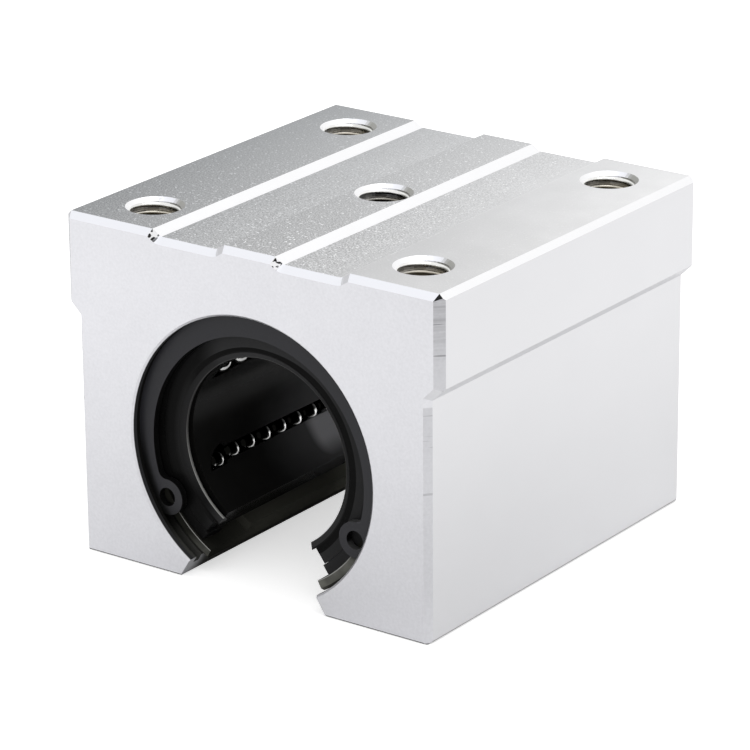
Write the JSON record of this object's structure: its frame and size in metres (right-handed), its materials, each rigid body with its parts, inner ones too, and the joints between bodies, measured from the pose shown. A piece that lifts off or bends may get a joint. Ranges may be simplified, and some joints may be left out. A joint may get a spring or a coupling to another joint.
{
  "type": "linear bearing block",
  "caption": "Open linear ball bearing block: an aluminium housing with a threaded mounting face holds a slotted ball bearing for a supported round shaft.",
  "frame": {"origin": "on the shaft's axis, at the middle of the block's length", "axes": "+Y along the shaft, +Z from the open side to the threaded mounting face, +X across"},
  "size_m": [0.07, 0.07, 0.055],
  "materials": {
    "aluminium_block": "fine satin, blasted on top",
    "bearing_steel": "ground",
    "black_resin": "moulded gloss",
    "dark_resin": "moulded satin",
    "seal_rubber": "smooth",
    "spring_steel": "dark phosphate",
    "dark_screw_steel": "black oxide",
    "polished_balls": "polished"
  },
  "bodies": {
    "root": {"housing": "aluminium_block", "outer_sleeve": "bearing_steel", "ball_retainer": "black_resin", "end_ring_front": "dark_resin", "end_ring_rear": "dark_resin", "wiper_seal_front": "seal_rubber", "wiper_seal_rear": "seal_rubber", "retaining_ring_front": "spring_steel", "retaining_ring_rear": "spring_steel", "locating_screw": "dark_screw_steel", "loaded_balls_1": "polished_balls", "loaded_balls_2": "polished_balls", "loaded_balls_3": "polished_balls", "loaded_balls_4": "polished_balls", "loaded_balls_5": "polished_balls", "return_balls_1": "polished_balls", "return_balls_2": "polished_balls", "return_balls_3": "polished_balls", "return_balls_4": "polished_balls", "return_balls_5": "polished_balls"}
  },
  "joints": []
}
